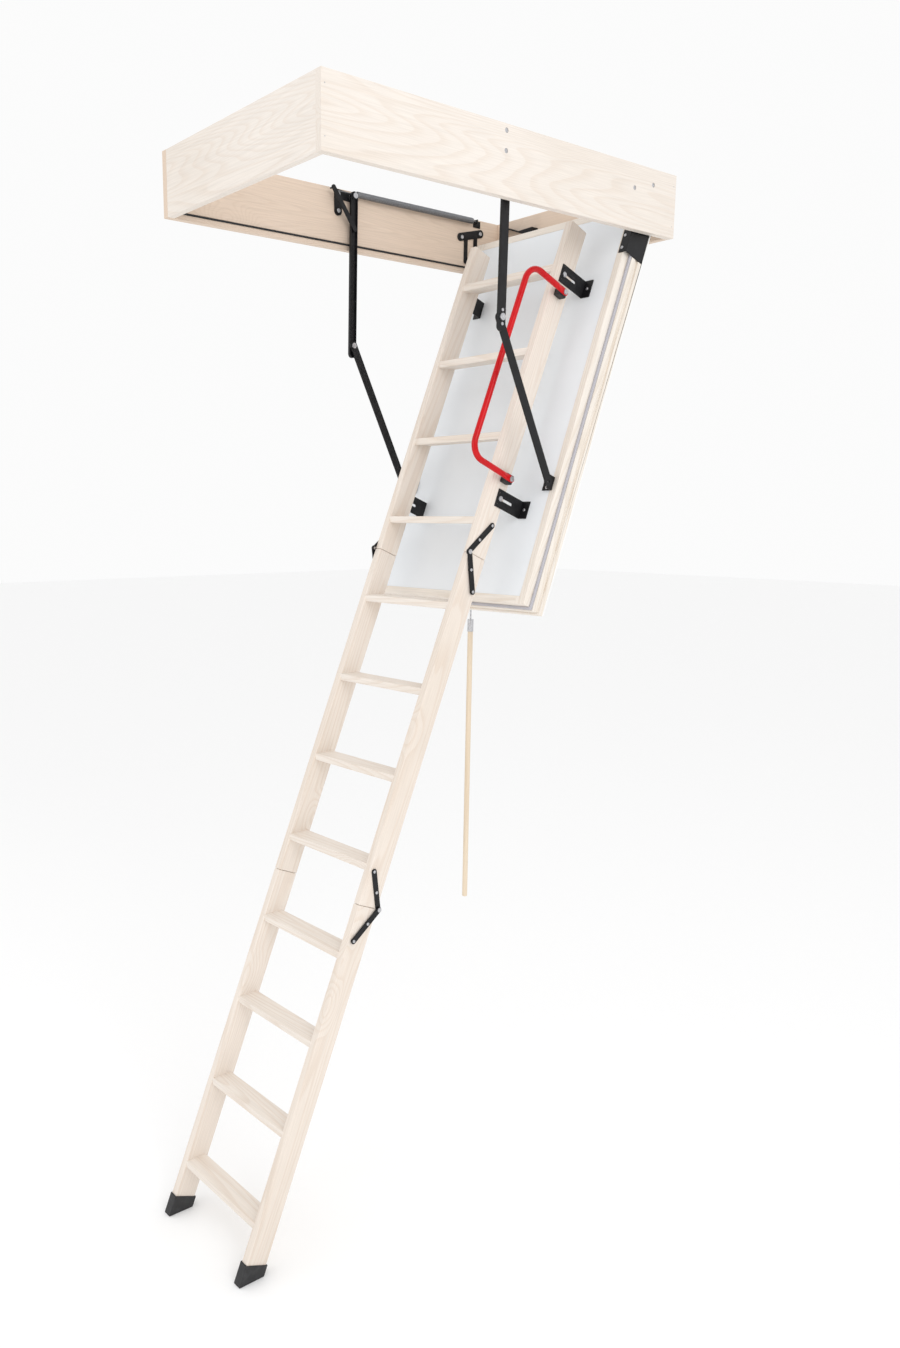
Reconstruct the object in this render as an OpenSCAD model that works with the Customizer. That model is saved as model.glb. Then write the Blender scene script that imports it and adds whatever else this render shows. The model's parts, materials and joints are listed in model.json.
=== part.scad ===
// Folding attic ladder: a pine box that lines the ceiling opening, an insulated
// hatch on side hinges, three ladder sections that fold onto the hatch, sprung
// toggle arms, a handrail and the hooked pole that opens the hatch.
// X runs along the box with the hinge end at +X, Z is up, and the origin is the
// centre of the opening in the plane of the ceiling. The ladder is drawn unfolded.

/* [Box] */
// Outer length of the box
box_len = 1240; // [1200:10:1500]
// Outer width of the box
box_wid = 700; // [600:10:860]
// Height of the box boards
box_hgt = 165; // [165:1:220]
// Thickness of the box boards
board_t = 20; // [18:1:26]
// Height of the sealing groove above the lower edge
groove_z = 13; // [11:1:14]
// Width of the sealing groove
groove_w = 5; // [4:0.5:6]

/* [Hatch] */
// Thickness of the hatch
hatch_t = 78; // [70:1:86]
// Gap between the hatch and the box
side_gap = 4; // [3.6:0.1:6]
// Height of the lip at the ceiling side
lip_t = 20; // [16:1:24]
// Inset of the upper part of the hatch behind its lip
core_inset = 12; // [9:1:16]
// Width of the hatch rails
rail_w = 46; // [44:1:60]
// Angle through which the hatch opens
open_ang = 69.5; // [60:0.5:75]
// Distance of the hinge pins from the hinge-end board
hinge_back = 64; // [60:1:80]
// Height of the hinge pins above the ceiling
piv_z = 20; // [16:1:24]

/* [Ladder] */
// Outer width of the ladder
lad_w = 405; // [330:5:490]
// Thickness of a stringer
str_t = 24; // [20:1:28]
// Depth of a stringer
str_d = 67; // [60:1:76]
// Distance between treads along the stringers
tread_pitch = 250; // [230:1:252]
// Thickness of a tread
tread_t = 20; // [17:1:24]
// Angle between the ladder and the hatch
lad_tilt = 1.8; // [0:0.1:3]
// Distance of the climbing side of the ladder from the hinge pins
lad_stand = 170; // [160:1:185]
// Distance from the hinge pins to the first tread
first_tread = 198; // [190:1:215]
// Distance from the hinge pins to the upper end of the ladder
lad_top = 49; // [40:1:70]
// Distance from the hinge pins to the upper knee
knee_1 = 1030; // [1020:1:1060]
// Length of the middle section
mid_len = 1008; // [1000:1:1030]
// Distance from the lower knee to the floor, along the ladder
low_len = 1053; // [1000:1:1260]
// Distance of a knee pin from the face of the stringers
knee_out = 3; // [2.5:0.5:5]

/* [Arms] */
// Length of the upper arms between pins
arm_up = 419; // [400:1:440]
// Width of the arms
arm_w = 25; // [20:1:28]
// Height of the upper arm pins above the ceiling
arm_z = 147; // [120:1:148]
// Distance of the upper arm pins from the hinge pins
arm_back = 550; // [530:1:570]
// Place of the lower arm pins along the hatch, from the hinge pins
arm_on_hatch = 777; // [760:1:790]
// Height of the lower arm pins above the hatch
arm_stand = 25; // [20:1:30]

/* [Rail and pole] */
// Diameter of the handrail tube
rail_d = 18; // [14:1:20]
// Distance of the handrail in front of the stringers
rail_off = 124; // [100:1:150]
// Distance from the hinge pins to the upper rail bolt
rail_s0 = 253; // [245:1:265]
// Distance between the rail bolts
rail_len = 546; // [480:1:550]
// Length of the pole
pole_len = 880; // [700:10:1060]
// Diameter of the pole
pole_d = 16; // [13:1:20]

/* [Fits] */
// Radial clearance of a turning or bolted joint
fit = 0.05; // [0.02:0.01:0.1]
// Clearance between flat moving faces
gap = 0.6; // [0.4:0.1:1]

/* [Hidden] */
$fn = 32;

// Box and hinge pins
in_x = box_len / 2 - board_t;
in_y = box_wid / 2 - board_t;
piv_x = in_x - hinge_back;
pin_r = 5;
link_step = 0.1;
nail_r = 1.5;
nail_len = 50;
nail_z = [30, box_hgt - 30];
seal_out = 3;
strike_w = 60;
strike_h = 18;
pocket = 14;

// Hatch: heights of its steps above the ceiling, and their insets
end_clear = 2;
hatch_x0 = -in_x + side_gap;
hatch_x1 = piv_x + sqrt(pow(hinge_back - end_clear, 2) - piv_z * piv_z);
lip_y = in_y - side_gap;
panel_t = 5;
panel_sink = 1;
groove_top = lip_t + 12;
shoulder_z = groove_top + 15;
groove_in = 6;
shoulder_in = 2;
strip_w = 22;
panel_z = hatch_t - panel_sink;

// Ladder: s is counted down the ladder from the hinge pins
lad_ang = open_ang - lad_tilt;
knee_2 = knee_1 + mid_len;
foot_s = knee_2 + low_len;
seam_gap = 1;
housing = 7;
treads_each = 4;
tread_set = 6;
tread_back = str_d / sin(lad_ang) - 1;
cap_t = 3;
cap_len = 60;
sole_t = 6;

// Knee straps
strap_w = 16;
strap_t = 3;
strap_reach = 97;
strap_in = 52;
strap_holes = [0.45, 1];
strap_y = lad_w / 2;
lap_y = strap_y + strap_t + gap;
front_knee = knee_out;
back_knee = -str_d - knee_out;

// Screws, bolts and plates
screw_r = 2.5;
screw_head = 4.5;
bolt_r = 3;
big_bolt_r = 4;
head_r = 6;
plate_t = 3;

// Arms
arm_x = piv_x - arm_back;
arm_y = in_y - 25;
arm_t = 8;
arm_wall = 2.5;
arm_over = 22;
elbow_side = 6;
low_arm_t = 4;
low_arm_y = arm_y - low_arm_t - gap;
elbow = [arm_x - elbow_side, arm_z - sqrt(arm_up * arm_up - elbow_side * elbow_side)];
hatch_pin = [piv_x - arm_on_hatch, hatch_t + arm_stand];
bracket_t = 4;
arm_bolts = [[arm_x - 44, arm_z + 3], [arm_x - 44, arm_z - 43]];
ab_y = low_arm_y - gap - plate_t;
ab_foot = 34;
ab_screw_y = ab_y - 16;
ab_screws = [hatch_pin[0] - 8, hatch_pin[0] + 14];

// Springs
lever_tip = [arm_x - 78, arm_z + 11];
lever_foot = 92;
lever_w = 14;
wire_r = 1.5;
spring_r = 9;
spring_z = arm_z + 8;
spring_y = in_y - bracket_t - spring_r - 1.5;
spring_start = arm_x + 16;
spring_end = piv_x - 62;
anchor_x = piv_x - 46;

// Hinge bars and the angle plates that hang on their pins
bar_t = 2.6;
bar_gap = 0.8;
bar_y = in_y - bar_gap - bar_t;
bar_a = [piv_x - 102, arm_z - 43];
bar_b = [piv_x - 14, arm_z - 22];
bar_bolts = [bar_a + [5, 0], bar_b + [-3, -1]];
leg_a = [bar_a[0] + 24, piv_z + 14];
leg_b = [bar_b[0] - 22, piv_z + 8];
pin_in = 12;
hang_x0 = piv_x - 99;
hang_x1 = piv_x + 13;
hang_z0 = piv_z - 13;
hang_y = lip_y - 3.4;
hang_foot = 24;
hang_screw_y = hang_y - hang_foot / 2 - 3;
hang_screws = [hang_x0 + 13, hang_x0 + 49, hang_x1 - 15];

// Slotted brackets
bracket_s = [192, 850];
bracket_len = 50;
bracket_foot = 28;
slot_z0 = hatch_t + 42;
slot_z1 = slot_z0 + 46;
bracket_top = slot_z1 + 14;
lag_len = 15;

// Lock and eye
lock_x = hatch_x0 + 8;
lock_z = lip_t + 10;
lock_y = 26;
lock_z0 = 8;
lock_w = 30;
lock_h = 38;
eye_x = lock_x + 15;
eye_drop = 22;
eye_r = 12;
eye_hole = 7.5;
eye_t = 5;
stem_r = 5;
stem_top = 33;
bolt_w = 19;
bolt_h = 9;

// Handrail
rail_r = 45;
rail_bolt_h = [30, 45];
rail_y = lad_w / 2 + 26;
rail_flat = 5;

// Pole
hook_r = 6.5;
hook_wire = 2.5;
hook_neck = 45;
ferrule = 35;
rim = opened_at(eye_x, -eye_drop - (eye_r + eye_hole) / 2);

// Frames of reference
function opened_at(x, z) = [piv_x + (x - piv_x) * cos(open_ang) - (z - piv_z) * sin(open_ang),
    piv_z + (x - piv_x) * sin(open_ang) + (z - piv_z) * cos(open_ang)];
module opened() translate([piv_x, 0, piv_z]) rotate([0, -open_ang, 0])
    translate([-piv_x, 0, -piv_z]) children();
module on_ladder() opened() translate([piv_x, 0, piv_z]) rotate([0, lad_tilt, 0])
    translate([0, 0, lad_stand]) children();
module xz(y0, t) translate([0, y0 + t, 0]) rotate([90, 0, 0]) linear_extrude(t) children();
module pin_y(p, r, y0, len) translate([p[0], y0, p[1]]) rotate([-90, 0, 0]) cylinder(r = r, h = len);
module near() mirror([0, 1, 0]) children();
module both() {
    children();
    near() children();
}

// Flat link with round ends, drawn in the plane of its face: the ends stand just proud
// of its straight edges
module link(a, b, w) {
    d = b - a;
    flank = w - 2 * link_step;
    translate(a) rotate(atan2(d[1], d[0])) translate([0, -flank / 2]) square([norm(d), flank]);
    translate(a) circle(d = w);
    translate(b) circle(d = w);
}

// Screw with a domed head: the head stands on z = 0 and the shank hangs below it
module screw(len) {
    translate([0, 0, -len]) cylinder(r = screw_r, h = len + 0.2);
    intersection() {
        cylinder(r = screw_head, h = 2);
        translate([0, 0, -screw_head * 1.4]) sphere(r = screw_head * 1.9);
    }
}

// ---- Box ----
module board_bolts() for (p = concat(arm_bolts, bar_bolts)) {
    pin_y(p, bolt_r + fit, in_y - 1, board_t + 2);
    pin_y(p, head_r + fit, box_wid / 2 - 4, 5);
}
module nail_shapes(grow) for (x = [-1, 1], z = nail_z)
    pin_y([x * (box_len / 2 - board_t / 2), z], nail_r + grow, box_wid / 2 - nail_len, nail_len);

module long_board() difference() {
    translate([-box_len / 2, in_y, 0]) cube([box_len, board_t, box_hgt]);
    translate([-in_x, in_y - 1, groove_z]) cube([2 * in_x, groove_w + 2, groove_w]);
    board_bolts();
    nail_shapes(fit);
}
module long_board_far() color("burlywood") long_board();
module long_board_near() color("burlywood") near() long_board();

module short_board(x0) difference() {
    translate([x0, -in_y, 0]) cube([board_t, 2 * in_y, box_hgt]);
    both() nail_shapes(fit);
}
module short_board_hinge_end() color("burlywood") short_board(in_x);
module short_board_free_end() color("burlywood") difference() {
    short_board(-box_len / 2);
    translate([-in_x - groove_w - 1, -in_y - 1, groove_z]) cube([groove_w + 2, 2 * in_y + 2, groove_w]);
    translate([-in_x - pocket, -strike_w / 2, lock_z - strike_h / 2])
        cube([pocket + 1, strike_w, strike_h]);
}
module corner_nails() color("silver") both() nail_shapes(0);

// Rubber strips in the grooves of three boards
module box_seals() color("dimgray") {
    both() translate([-in_x + seal_out + 1, in_y - seal_out, groove_z])
        cube([piv_x - 60 + in_x, seal_out + groove_w, groove_w]);
    translate([-in_x - groove_w, -in_y + seal_out + 1, groove_z])
        cube([seal_out + groove_w, 2 * (in_y - seal_out - 1), groove_w]);
}

// Plates that carry the upper arms
module arm_brackets() color("#202022") both() difference() {
    xz(in_y - bracket_t, bracket_t) {
        link(arm_bolts[1], arm_bolts[0], 26);
        link(arm_bolts[0], [arm_x, arm_z], 25);
    }
    for (p = arm_bolts) pin_y(p, bolt_r + fit, in_y - 10, 20);
    pin_y([arm_x, arm_z], pin_r + fit, in_y - 10, 20);
}

// Pins on which the upper arms turn, each with a head and a collar
module arm_pivot_pins() color("silver") both() {
    pin_y([arm_x, arm_z], pin_r, arm_y - 4, in_y - arm_y + 4 - 0.2);
    pin_y([arm_x, arm_z], 8, arm_y - 6, 3 - gap);
    pin_y([arm_x, arm_z], 6, arm_y + arm_t + gap, in_y - bracket_t - arm_y - arm_t - gap);
}

// Hinge bars: a sloping bar on the board with two legs that reach down to the hinge pin
module hinge_bars() color("#202022") both() difference() {
    union() {
        xz(bar_y, bar_t + bar_gap) link(bar_a, bar_b, 24);
        xz(bar_y, bar_t) {
            link([leg_a[0], bar_a[1]], leg_a, 15);
            link([leg_b[0], bar_b[1] - 6], leg_b, 15);
            link(leg_a, [piv_x, piv_z], 15);
            translate([piv_x, piv_z]) circle(r = 10);
        }
    }
    for (p = bar_bolts) pin_y(p, bolt_r + fit, in_y - 10, 20);
    pin_y([piv_x, piv_z], pin_r + fit, in_y - 20, 30);
}
module hinge_pins() color("silver") both() {
    pin_y([piv_x, piv_z], pin_r, bar_y - pin_in, pin_in + bar_t);
}

// Bolts through the long boards: head inside, nut sunk into the outer face
module side_bolt(p, t) {
    pin_y(p, bolt_r, in_y - t - 1, board_t + t + 0.5);
    pin_y(p, head_r, in_y - t - 3, 3);
    pin_y(p, head_r - 0.2, box_wid / 2 - 4, 3.4);
}
module side_bolts() color("silver") both() {
    for (p = arm_bolts) side_bolt(p, bracket_t);
    for (p = bar_bolts) side_bolt(p, bar_t + bar_gap);
}

// Closed outlines of the two springs, with their straight hooks
module tension_springs() color("gray") both() {
    translate([spring_start, spring_y, spring_z]) rotate([0, 90, 0])
        cylinder(r = spring_r, h = spring_end - spring_start);
    translate([lever_tip[0] + 9, spring_y, spring_z]) rotate([0, 90, 0])
        cylinder(r = wire_r, h = anchor_x + 5 - lever_tip[0] - 9);
}
module spring_anchors() color("#202022") both() difference() {
    union() {
        translate([anchor_x, in_y - plate_t, spring_z - 14]) cube([30, plate_t, 20]);
        translate([anchor_x, spring_y - 6, spring_z - 8]) cube([plate_t, in_y - spring_y + 6, 14]);
    }
    translate([anchor_x - 1, spring_y, spring_z]) rotate([0, 90, 0]) cylinder(r = wire_r + fit, h = 20);
}

// Bent strip that leans on the hinge-end board
module leaf_strip() color("#202022") translate([in_x, 0, 0]) rotate([90, 0, -90]) linear_extrude(28)
    polygon([[-290, 140], [-268, 142], [-210, 119], [-150, 121], [-150, 97], [-162, 97],
        [-210, 115], [-270, 138.5], [-290, 137]]);

// ---- Hatch, drawn shut and then opened ----
module layer(z0, z1, inset) translate([hatch_x0 + inset, -lip_y + inset, z0])
    cube([hatch_x1 - hatch_x0 - 2 * inset, 2 * (lip_y - inset), z1 - z0]);
module hatch_frame() difference() {
    union() {
        layer(panel_t, lip_t, 0);
        layer(lip_t, groove_top, groove_in);
        layer(groove_top, shoulder_z, shoulder_in);
        layer(shoulder_z, hatch_t, core_inset);
    }
    layer(0, hatch_t + 1, rail_w);
    layer(hatch_t - panel_t, hatch_t + 1, core_inset + strip_w);
}
module side_zone() translate([hatch_x0 - 1, lip_y - rail_w, 0])
    cube([hatch_x1 - hatch_x0 + 2, rail_w + 1, hatch_t + 1]);
module hatch_side_rail() difference() {
    intersection() {
        hatch_frame();
        side_zone();
    }
    translate([hang_x0 - 1, hang_y, hang_z0 - 1]) cube([hang_x1 - hang_x0 + 2, 10, hatch_t]);
    pin_y([piv_x, piv_z], pin_r + fit, lip_y - 20, 30);
}
module hatch_side_rail_far() color("antiquewhite") opened() hatch_side_rail();
module hatch_side_rail_near() color("antiquewhite") opened() near() hatch_side_rail();
module lock_space() {
    translate([lock_x, -lock_y, lock_z0]) cube([lock_w, 2 * lock_y, lock_h]);
    translate([hatch_x0 - 1, -bolt_w / 2 - 1.5, lock_z - bolt_h / 2 - 1.5])
        cube([lock_x - hatch_x0 + 2, bolt_w + 3, bolt_h + 3]);
    translate([eye_x, 0, -1]) cylinder(r = stem_r + 4, h = lock_z0 + 2);
}
module hatch_end_rails() color("antiquewhite") opened() difference() {
    hatch_frame();
    both() side_zone();
    lock_space();
}
module hatch_foam() color("white") opened() layer(panel_t, hatch_t - panel_t, rail_w);
module attic_panel() color("#e6ebf0") opened() layer(hatch_t - panel_t, panel_z, core_inset + strip_w);
module ceiling_panel() color("white") opened() difference() {
    layer(0, panel_t, 0);
    lock_space();
}
module hatch_seal() color("#9a96a2") opened() difference() {
    layer(shoulder_z, shoulder_z + 7, shoulder_in + 2);
    layer(shoulder_z - 1, shoulder_z + 8, core_inset);
}

// Angle plates that hang the hatch on the hinge pins
module hinge_plates() color("#202022") opened() both() difference() {
    union() {
        translate([hang_x0, hang_y, hang_z0])
            cube([hang_x1 - hang_x0, plate_t, hatch_t + plate_t - hang_z0]);
        translate([hang_x0, hang_y - hang_foot, hatch_t])
            cube([hang_x1 - hang_x0, hang_foot + 1, plate_t]);
    }
    pin_y([piv_x, piv_z], pin_r + fit, lip_y - 20, 30);
    for (x = hang_screws) translate([x, hang_screw_y, hatch_t - 5]) cylinder(r = screw_r + fit, h = 10);
}

// Angles that carry the lower ends of the arms
module hatch_arm_brackets() color("#202022") opened() both() difference() {
    union() {
        xz(ab_y, plate_t) {
            translate(hatch_pin) circle(r = 11);
            translate([hatch_pin[0] - 16, hatch_t]) square([38, arm_stand - 4]);
            translate([hatch_pin[0] - 11, hatch_t]) square([22, arm_stand]);
        }
        translate([hatch_pin[0] - 16, ab_y - ab_foot + plate_t, hatch_t]) cube([38, ab_foot, plate_t]);
    }
    pin_y(hatch_pin, big_bolt_r + fit, ab_y - 5, 20);
    for (x = ab_screws) translate([x, ab_screw_y, hatch_t - 5]) cylinder(r = screw_r + fit, h = 12);
}
module hatch_arm_pins() color("silver") opened() both() {
    pin_y(hatch_pin, big_bolt_r, ab_y - 2, plate_t + 2 + gap - 0.2);
    pin_y(hatch_pin, 7, ab_y - 4, 4);
}

// Slotted angles that hold the ladder off the hatch
module at_brackets() for (s = bracket_s) translate([piv_x - s, lad_w / 2, 0]) children();
module slotted_bracket() difference() {
    union() {
        translate([-bracket_len / 2, 0, panel_z]) cube([bracket_len, plate_t, bracket_top - panel_z]);
        translate([-bracket_len / 2, 0, panel_z]) cube([bracket_len, plate_t + bracket_foot, plate_t]);
    }
    for (z = [slot_z0, slot_z1]) pin_y([0, z], big_bolt_r + fit, -1, plate_t + 2);
    translate([-big_bolt_r - fit, -1, slot_z0])
        cube([2 * (big_bolt_r + fit), plate_t + 2, slot_z1 - slot_z0]);
    for (x = [-1, 1]) pin_y([x * 15, bracket_top - 8], 2, -1, plate_t + 2);
    translate([0, plate_t + bracket_foot / 2, panel_z - 5]) cylinder(r = screw_r + fit, h = 12);
}
module slotted_brackets() color("#202022") opened() both() at_brackets() slotted_bracket();
module bracket_bolts() color("silver") opened() both() at_brackets() {
    pin_y([0, slot_z1], big_bolt_r, -lag_len, lag_len + plate_t + 0.5);
    pin_y([0, slot_z1], 7.5, plate_t, 3.5);
}
module hatch_screws() color("silver") opened() both() {
    for (x = hang_screws) translate([x, hang_screw_y, hatch_t + plate_t]) screw(plate_t);
    for (x = ab_screws) translate([x, ab_screw_y, hatch_t + plate_t]) screw(plate_t);
    at_brackets() translate([0, plate_t + bracket_foot / 2, panel_z + plate_t]) screw(plate_t);
}

// Lock: a case in the end rail, an eye that is pulled and a bolt that slides out
module lock_case() color("dimgray") opened() difference() {
    translate([lock_x, -lock_y, lock_z0]) cube([lock_w, 2 * lock_y, lock_h]);
    translate([eye_x, 0, -1]) cylinder(r = stem_r + 0.3, h = stem_top + 8);
    translate([lock_x - 1, -bolt_w / 2 - 0.5, lock_z - bolt_h / 2 - 0.5])
        cube([lock_w + 2, bolt_w + 1, bolt_h + 1]);
}
module lock_eye() color("silver") opened() translate([eye_x, 0, 0]) {
    translate([0, 0, 1 - eye_drop + eye_hole]) cylinder(r = stem_r, h = stem_top - 1 + eye_drop - eye_hole);
    translate([-eye_t / 2, 0, -eye_drop]) rotate([0, 90, 0]) difference() {
        cylinder(r = eye_r, h = eye_t);
        translate([0, 0, -1]) cylinder(r = eye_hole, h = eye_t + 2);
    }
}
module latch_bolt() color("silver") opened() difference() {
    translate([hatch_x0, -bolt_w / 2, lock_z - bolt_h / 2]) cube([32, bolt_w, bolt_h]);
    translate([lock_x + 6, -stem_r - 1, lock_z - bolt_h]) cube([30, 2 * stem_r + 2, 2 * bolt_h]);
}
module strike_plate() color("silver") difference() {
    translate([-in_x - 2, -strike_w / 2, lock_z - strike_h / 2]) cube([2, strike_w, strike_h]);
    translate([-in_x - 3, -bolt_w / 2 - 3.5, lock_z - bolt_h / 2 - 2])
        cube([4, bolt_w + 7, bolt_h + 4]);
}

// ---- Ladder, drawn in its own plane: x falls away down the ladder, z = 0 is the climbing side ----
function tread_s(k) = first_tread + k * tread_pitch;
module tread(s) translate([-s, 0, 0]) rotate([0, lad_ang, 0])
    translate([tread_set, -lad_w / 2 + str_t - housing, 0])
        cube([tread_back - tread_set, lad_w - 2 * (str_t - housing), tread_t]);
module section_treads(k0) for (k = [k0:k0 + treads_each - 1]) tread(tread_s(k));
module bar(s0, s1) translate([-s1, lad_w / 2 - str_t, -str_d]) cube([s1 - s0, str_t, str_d]);
module section_stringer(s0, s1, k0) difference() {
    bar(s0, s1);
    section_treads(k0);
}
module bracket_holes() translate([0, 0, -lad_stand]) rotate([0, -lad_tilt, 0])
    translate([-piv_x, 0, -piv_z]) at_brackets()
        pin_y([0, slot_z1], big_bolt_r + fit, -lag_len - 0.5, lag_len + 5);
module upper_stringer() difference() {
    section_stringer(lad_top, knee_1 - seam_gap / 2, 0);
    translate([-lad_top, 0, 0]) rotate([0, lad_ang - 90, 0]) translate([0, 0, -200]) cube([200, lad_w, 400]);
    bracket_holes();
}
function rail_bolt(i) = [-rail_s0 - i * rail_len, -rail_bolt_h[i]];
module upper_stringer_far() color("#efd9c0") on_ladder() upper_stringer();
module upper_stringer_near() color("#efd9c0") on_ladder() near() difference() {
    upper_stringer();
    for (i = [0, 1]) pin_y(rail_bolt(i), big_bolt_r + fit, lad_w / 2 - str_t - 5, str_t + 10);
}
module middle_stringer() section_stringer(knee_1 + seam_gap / 2, knee_2 - seam_gap / 2, treads_each);
module middle_stringer_far() color("#efd9c0") on_ladder() middle_stringer();
module middle_stringer_near() color("#efd9c0") on_ladder() near() middle_stringer();
module upper_treads() color("#f1e0cc") on_ladder() section_treads(0);
module middle_treads() color("#f1e0cc") on_ladder() section_treads(treads_each);
module lower_treads() color("#f1e0cc") on_ladder() section_treads(2 * treads_each);

// The lower stringers are cut level with the floor and stand in caps
module below_floor(up) translate([-foot_s, 0, 0]) rotate([0, lad_ang, 0])
    translate([-200, -lad_w, up - 400]) cube([600, 2 * lad_w, 400]);
module lower_stringer() difference() {
    section_stringer(knee_2 + seam_gap / 2, foot_s + 60, 2 * treads_each);
    below_floor(sole_t);
}
module lower_stringer_far() color("#efd9c0") on_ladder() lower_stringer();
module lower_stringer_near() color("#efd9c0") on_ladder() near() lower_stringer();
module feet() color("#1c1c1e") on_ladder() both() difference() {
    translate([-foot_s - 60, lad_w / 2 - str_t - cap_t, -str_d - cap_t])
        cube([60 + cap_len, str_t + 2 * cap_t, str_d + 2 * cap_t]);
    lower_stringer();
    below_floor(0);
}

// Handrail: a bent tube with flattened ends, on the near side only
module bend() rotate([90, 0, 0]) rotate_extrude(angle = 90) translate([rail_r, 0]) circle(d = rail_d);
module rail_leg(i) {
    p = rail_bolt(i);
    pin_y(p, rail_d / 2 + 2, -rail_flat / 2, rail_flat);
    translate([p[0] - rail_d / 2 - 1, -rail_flat / 2, p[1]]) cube([rail_d + 2, rail_flat, 18]);
    translate([p[0], 0, p[1] + 16.5]) cylinder(d = rail_d, h = rail_off - rail_r - p[1] - 16.5);
}
module handrail() color("red") on_ladder() near() translate([0, rail_y, 0]) difference() {
    union() {
        for (i = [0, 1]) rail_leg(i);
        translate([rail_bolt(0)[0] - rail_r, 0, rail_off - rail_r]) bend();
        translate([rail_bolt(1)[0] + rail_r, 0, rail_off - rail_r]) rotate([0, -90, 0]) bend();
        translate([rail_bolt(1)[0] + rail_r, 0, rail_off]) rotate([0, 90, 0])
            cylinder(d = rail_d, h = rail_len - 2 * rail_r);
    }
    for (i = [0, 1]) pin_y(rail_bolt(i), big_bolt_r + fit, -10, 20);
}
module handrail_spacers() color("#1c1c1e") on_ladder() near() for (i = [0, 1]) difference() {
    translate([rail_bolt(i)[0] - 13, lad_w / 2, rail_bolt(i)[1] - 12])
        cube([26, rail_y - rail_flat / 2 - lad_w / 2, 28]);
    pin_y(rail_bolt(i), big_bolt_r + fit, lad_w / 2 - 1, 40);
}
module handrail_bolts() color("silver") on_ladder() near() for (i = [0, 1]) {
    in_face = lad_w / 2 - str_t;
    out_face = rail_y + rail_flat / 2;
    pin_y(rail_bolt(i), big_bolt_r, in_face - 2, out_face - in_face + 3);
    pin_y(rail_bolt(i), 7.5, out_face, 4);
    pin_y(rail_bolt(i), 7, in_face - 4, 4);
}

// Knee straps: each one runs from its pin to a screw near the other edge of the stringer
function strap_ends(s, h, dir) = [[-s, h],
    [-s - dir * strap_reach, h > 0 ? -strap_in : strap_in - str_d]];
module strap(s, h, dir, y0) difference() {
    e = strap_ends(s, h, dir);
    union() {
        xz(y0, strap_t) link(e[0], e[1], strap_w);
        if (y0 > strap_y) for (f = strap_holes)
            pin_y(e[0] + f * (e[1] - e[0]), 6, strap_y, y0 - strap_y + 1);
    }
    pin_y(e[0], big_bolt_r + fit, strap_y - 5, 20);
    for (f = strap_holes) pin_y(e[0] + f * (e[1] - e[0]), screw_r + fit, strap_y - 5, 20);
}
module strap_screws(s, h, dir, y0) {
    e = strap_ends(s, h, dir);
    for (f = strap_holes) {
        p = e[0] + f * (e[1] - e[0]);
        translate([p[0], y0 + strap_t, p[1]]) rotate([-90, 0, 0]) screw(y0 + strap_t - strap_y);
    }
}
module upper_knee_straps() color("#202022") on_ladder() both() strap(knee_1, front_knee, -1, strap_y);
module middle_knee_straps() color("#202022") on_ladder() both() {
    strap(knee_1, front_knee, 1, lap_y);
    strap(knee_2, back_knee, -1, strap_y);
}
module lower_knee_straps() color("#202022") on_ladder() both() strap(knee_2, back_knee, 1, lap_y);
module strap_screws_upper() color("silver") on_ladder() both() strap_screws(knee_1, front_knee, -1, strap_y);
module strap_screws_middle() color("silver") on_ladder() both() {
    strap_screws(knee_1, front_knee, 1, lap_y);
    strap_screws(knee_2, back_knee, -1, strap_y);
}
module strap_screws_lower() color("silver") on_ladder() both() strap_screws(knee_2, back_knee, 1, lap_y);
module knee_pin(s, h) {
    pin_y([-s, h], big_bolt_r, strap_y + 0.1, 2 * strap_t + gap + 1);
    pin_y([-s, h], 6.5, lap_y + strap_t + 0.3, 2);
}
module knee_pins_upper() color("silver") on_ladder() both() knee_pin(knee_1, front_knee);
module knee_pins_lower() color("silver") on_ladder() both() knee_pin(knee_2, back_knee);

// ---- Arms ----
arm_end = elbow - [0, arm_over];
module upper_arm() difference() {
    union() {
        difference() {
            xz(arm_y, arm_t) link([arm_x, arm_z], arm_end, arm_w);
            xz(arm_y - 1, arm_t - arm_wall + 1) link([arm_x, arm_z], arm_end, arm_w - 2 * arm_wall);
        }
        xz(arm_y - plate_t, plate_t + 0.2) link([arm_x, arm_z - lever_foot], lever_tip, lever_w);
        pin_y(lever_tip, 2.5, arm_y - 1, spring_y - arm_y + 4);
    }
    pin_y([arm_x, arm_z], pin_r + fit, arm_y - 5, 30);
    pin_y(elbow, pin_r + fit, arm_y - 5, 30);
}
module upper_arm_far() color("#202022") upper_arm();
module upper_arm_near() color("#202022") near() upper_arm();

open_pin = opened_at(hatch_pin[0], hatch_pin[1]);
module lower_arm() difference() {
    xz(low_arm_y, low_arm_t) link(elbow, open_pin, arm_w);
    pin_y(elbow, pin_r + fit, low_arm_y - 5, 20);
    pin_y(open_pin, big_bolt_r + fit, low_arm_y - 5, 20);
}
module lower_arm_far() color("#202022") lower_arm();
module lower_arm_near() color("#202022") near() lower_arm();

// Elbow bolts that turn in the lower arms, each between two rivets of the upper arm
module elbow_pin() {
    pin_y(elbow, pin_r, low_arm_y - gap - 1, arm_y + arm_t - low_arm_y + gap + 2);
    pin_y(elbow, 8, low_arm_y - gap - 3, 3);
    pin_y(elbow, 9, arm_y + arm_t, 4);
    for (d = [-17, 17]) pin_y(elbow + [0, d], 4, arm_y + arm_t, 2);
}
module elbow_pin_far() color("silver") elbow_pin();
module elbow_pin_near() color("silver") near() elbow_pin();

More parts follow.
